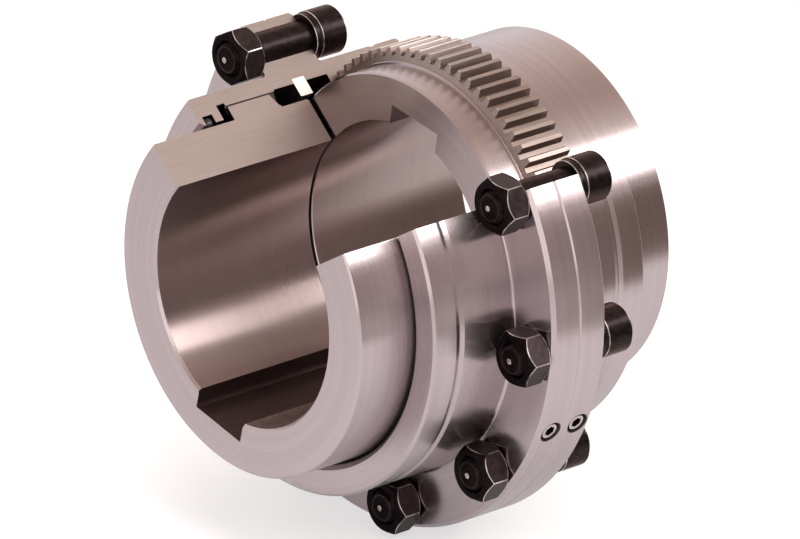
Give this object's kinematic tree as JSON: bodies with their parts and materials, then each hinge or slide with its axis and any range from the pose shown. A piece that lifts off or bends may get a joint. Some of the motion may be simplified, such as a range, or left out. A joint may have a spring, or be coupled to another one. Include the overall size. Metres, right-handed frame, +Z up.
{
  "type": "gear coupling",
  "caption": "Flanged gear coupling for two shafts, with toothed hubs in bolted sleeves, a sector cut out to show its inside.",
  "frame": {"origin": "on the shaft axis, in the plane where the faces of the two flanges meet", "axes": "+X along the shaft axis towards the whole hub; +Z up, through the cut-out sector"},
  "size_m": [0.232, 0.3186, 0.273],
  "materials": {
    "turned_steel": "turned and ground steel, satin",
    "ring_steel": "ground steel, bright",
    "black_steel": "black oxide, satin",
    "seal_rubber": "matt black"
  },
  "bodies": {
    "far_hub": {"hub_far": "turned_steel"},
    "sleeves": {"sleeve_far": "turned_steel", "sleeve_near": "turned_steel", "seal_far": "seal_rubber", "seal_near": "seal_rubber", "centre_ring": "ring_steel", "grease_plug_far": "black_steel", "grease_plug_near": "black_steel", "bolt_01": "black_steel", "nut_01": "black_steel", "washer_01": "black_steel", "bolt_02": "black_steel", "nut_02": "black_steel", "washer_02": "black_steel", "bolt_03": "black_steel", "nut_03": "black_steel", "washer_03": "black_steel", "bolt_04": "black_steel", "nut_04": "black_steel", "washer_04": "black_steel", "bolt_05": "black_steel", "nut_05": "black_steel", "washer_05": "black_steel", "bolt_06": "black_steel", "nut_06": "black_steel", "washer_06": "black_steel", "bolt_07": "black_steel", "nut_07": "black_steel", "washer_07": "black_steel", "bolt_08": "black_steel", "nut_08": "black_steel", "washer_08": "black_steel"},
    "near_hub": {"hub_near": "turned_steel"}
  },
  "joints": [
    {"name": "far_teeth_tilt", "type": "hinge", "parent": "far_hub", "child": "sleeves", "pos_m": [0.0385, 0, 0], "axis": [0, 0, 1], "range_deg": [-0.5, 0.5]},
    {"name": "near_teeth_tilt", "type": "hinge", "parent": "sleeves", "child": "near_hub", "pos_m": [-0.0385, 0, 0], "axis": [0, 0, 1], "range_deg": [-0.5, 0.5]}
  ]
}
